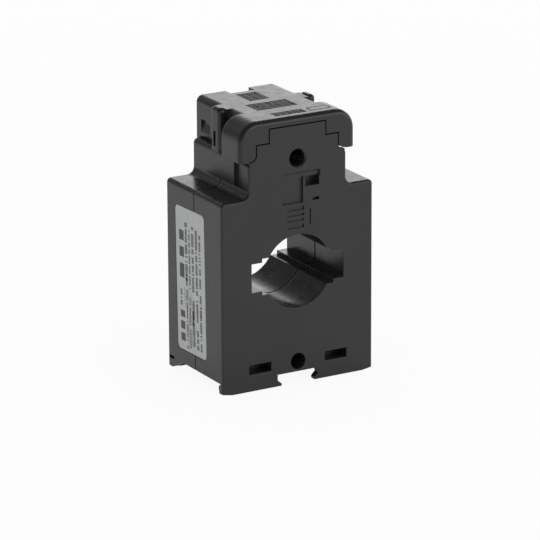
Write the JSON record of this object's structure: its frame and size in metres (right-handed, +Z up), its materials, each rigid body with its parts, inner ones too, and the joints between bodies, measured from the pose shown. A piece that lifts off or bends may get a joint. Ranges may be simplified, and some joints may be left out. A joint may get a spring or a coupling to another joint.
{
  "type": "current transformer",
  "caption": "Window current transformer in a moulded two-shell case, with a round and bar window, lift-off terminal cover, rising clamp terminals, fixing holes and slotted feet.",
  "frame": {"origin": "on the floor, at the middle of the overall width and depth", "axes": "+X to the right across the front, +Y from the front to the back along the window, +Z up"},
  "size_m": [0.05, 0.0354, 0.08],
  "materials": {
    "case_plastic": "fine satin moulded texture, near-black grey",
    "cover_plastic": "fine satin moulded texture, near-black grey",
    "block_plastic": "moulded insulator, black",
    "core_steel": "wound electrical steel strip",
    "cap_plastic": "natural nylon",
    "winding_copper": "enamelled copper wire",
    "tape_film": "yellow polyester tape",
    "pad_foam": "closed-cell foam",
    "contact_brass": "tinned brass strip",
    "cage_steel": "zinc-plated steel",
    "screw_steel": "zinc-plated steel",
    "lead_sleeve": "insulated hook-up wire",
    "label_film": "satin silver film with plain printed bars"
  },
  "bodies": {
    "housing": {"front_shell": "case_plastic", "rear_shell": "case_plastic", "terminal_block": "block_plastic", "core_ring": "core_steel", "core_cap_front": "cap_plastic", "core_cap_rear": "cap_plastic", "secondary_winding": "winding_copper", "winding_tape": "tape_film", "core_pad_front": "pad_foam", "core_pad_rear": "pad_foam", "contact_left": "contact_brass", "contact_right": "contact_brass", "lead_left": "lead_sleeve", "lead_right": "lead_sleeve", "rating_label": "label_film"},
    "cover": {"terminal_cover": "cover_plastic"},
    "screw_left": {"clamp_screw_left": "screw_steel"},
    "screw_right": {"clamp_screw_right": "screw_steel"},
    "cage_left": {"clamp_cage_left": "cage_steel"},
    "cage_right": {"clamp_cage_right": "cage_steel"}
  },
  "joints": [
    {"name": "cover_lift", "type": "slide", "parent": "housing", "child": "cover", "axis": [0, 0, 1], "range_m": [0, 0.0135]},
    {"name": "screw_left_turn", "type": "hinge", "parent": "housing", "child": "screw_left", "pos_m": [-0.00795, 0.0065, 0.077], "axis": [0, 0, -1], "range_deg": [0, 1152]},
    {"name": "screw_right_turn", "type": "hinge", "parent": "housing", "child": "screw_right", "pos_m": [0.00795, 0.0065, 0.077], "axis": [0, 0, -1], "range_deg": [0, 1152]},
    {"name": "cage_left_rise", "type": "slide", "parent": "housing", "child": "cage_left", "axis": [0, 0, 1], "range_m": [0, 0.0016]},
    {"name": "cage_right_rise", "type": "slide", "parent": "housing", "child": "cage_right", "axis": [0, 0, 1], "range_m": [0, 0.0016]}
  ],
  "couplings": [
    {"joint": "screw_left_turn", "follows": "cage_left_rise", "rad_per_m": 12566},
    {"joint": "screw_right_turn", "follows": "cage_right_rise", "rad_per_m": 12566}
  ]
}
